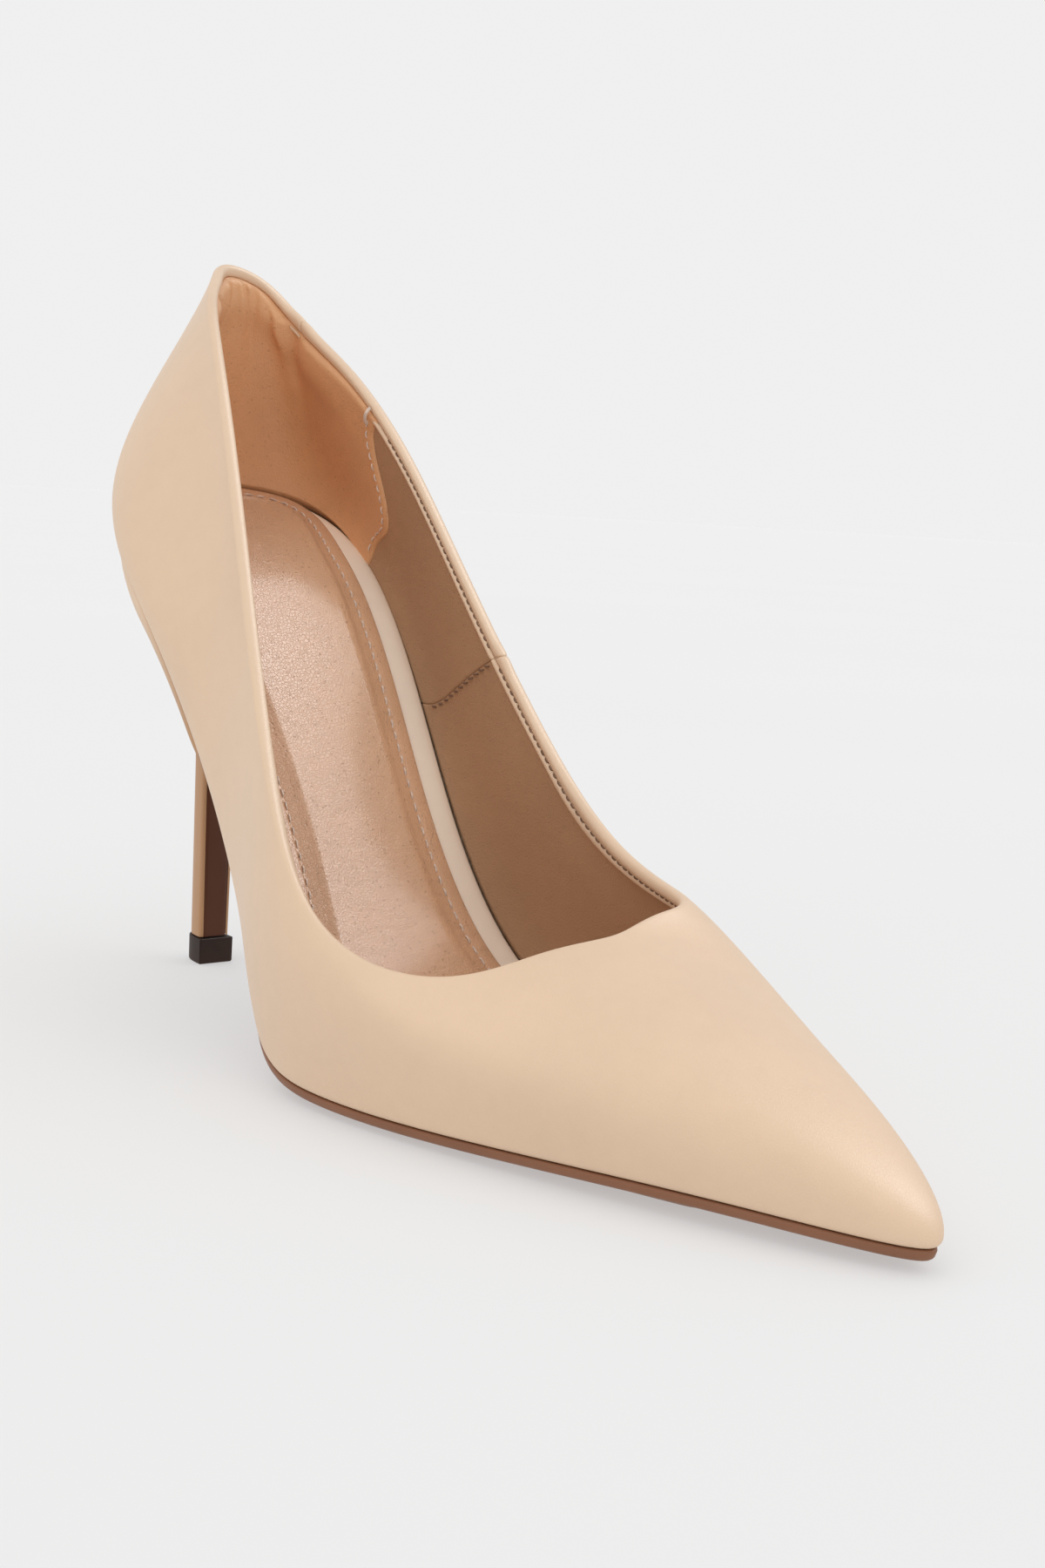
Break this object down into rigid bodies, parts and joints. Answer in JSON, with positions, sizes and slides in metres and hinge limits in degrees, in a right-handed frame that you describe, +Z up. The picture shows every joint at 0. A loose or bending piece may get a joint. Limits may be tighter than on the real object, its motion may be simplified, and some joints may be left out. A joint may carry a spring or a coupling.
{
  "type": "high heel pump",
  "caption": "Closed pointed-toe pump with a low-cut throat, a tall slender leather-covered heel, a thin outsole and a stitched sock lining.",
  "frame": {"origin": "middle of the shoe's outline, on the floor that the sole and the top lift stand on", "axes": "+Z up, +Y from the toe tip towards the heel, +X towards the inner (medial) side of a right foot"},
  "size_m": [0.0802, 0.2294, 0.1593],
  "materials": {
    "upper_leather": "smooth nappa, light sheen",
    "quarter_lining": "matte lining leather",
    "heel_lining": "soft lining leather, slightly padded",
    "sock_leather": "polished lining leather with fine creases",
    "insole_wrap": "smooth thin leather",
    "sole": "smooth moulded sole, satin",
    "top_lift": "matte moulded",
    "steel": "plain",
    "brass": "plain",
    "fibreboard": "pressed fibreboard, matte",
    "felt": "non-woven felt",
    "foam": "foam sheet",
    "cork": "pressed cork",
    "heel_plastic": "moulded heel core"
  },
  "bodies": {
    "root": {"vamp": "upper_leather", "medial_quarter": "upper_leather", "topline_binding": "upper_leather", "topline_tape": "felt", "toe_puff": "fibreboard", "vamp_backing": "felt", "lateral_backing": "felt", "medial_backing": "felt", "heel_counter": "fibreboard", "vamp_lining": "quarter_lining", "medial_quarter_lining": "quarter_lining", "lateral_quarter_lining": "quarter_lining", "heel_lining": "heel_lining", "heel_grip_foam": "foam", "insole_board": "fibreboard", "insole_wrap": "insole_wrap", "sock_foam": "foam", "sock": "sock_leather", "steel_shank": "steel", "shank_rivet_1": "brass", "shank_rivet_2": "brass", "bottom_filler": "cork", "seat_filler": "cork", "outsole": "sole", "heel_block": "heel_plastic", "heel_cover": "upper_leather", "breast_cover": "sole", "heel_tube": "steel", "top_lift": "top_lift", "top_lift_pin": "steel", "heel_screw": "steel", "heel_nail_1": "steel", "heel_nail_2": "steel", "heel_nail_3": "steel", "heel_nail_4": "steel"}
  },
  "joints": []
}
